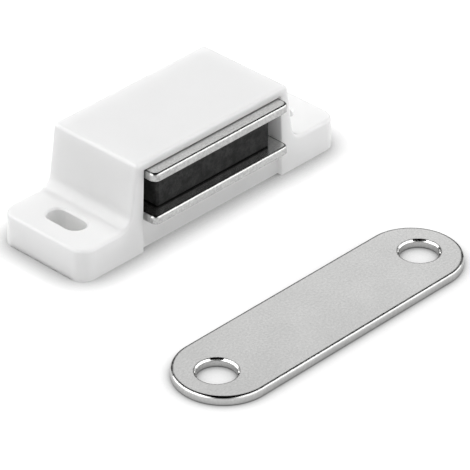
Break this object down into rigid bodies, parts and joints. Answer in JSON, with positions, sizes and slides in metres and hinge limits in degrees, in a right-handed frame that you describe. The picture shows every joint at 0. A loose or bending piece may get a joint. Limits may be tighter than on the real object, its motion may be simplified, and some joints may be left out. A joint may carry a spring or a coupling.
{
  "type": "magnetic catch",
  "caption": "Surface-mounted magnetic cabinet catch: moulded housing with slotted ears, a floating magnet between steel pole plates, and a flat strike plate with rounded ends.",
  "frame": {"origin": "centre of the catch's mounting face, midway between the ears", "axes": "+X along the catch from ear to ear, +Z away from the mounting face, -Y the way the magnet and its pole plates look"},
  "size_m": [0.0542, 0.0469, 0.013],
  "materials": {
    "housing_abs": "injection-moulded white ABS, satin to gloss",
    "plated_steel": "punched mild steel, bright nickel plated",
    "ferrite": "sintered ferrite, dark grey and finely grained",
    "strike_steel": "punched mild steel, satin nickel plated, bright on its rounded edges"
  },
  "bodies": {
    "catch": {"housing": "housing_abs", "strike_plate": "strike_steel"},
    "magnet_pack": {"lower_pole_plate": "plated_steel", "upper_pole_plate": "plated_steel", "magnet": "ferrite"}
  },
  "joints": [
    {"name": "pack_float", "type": "slide", "parent": "catch", "child": "magnet_pack", "axis": [0, -1, 0], "range_m": [-0.0005, 0.0005]}
  ]
}
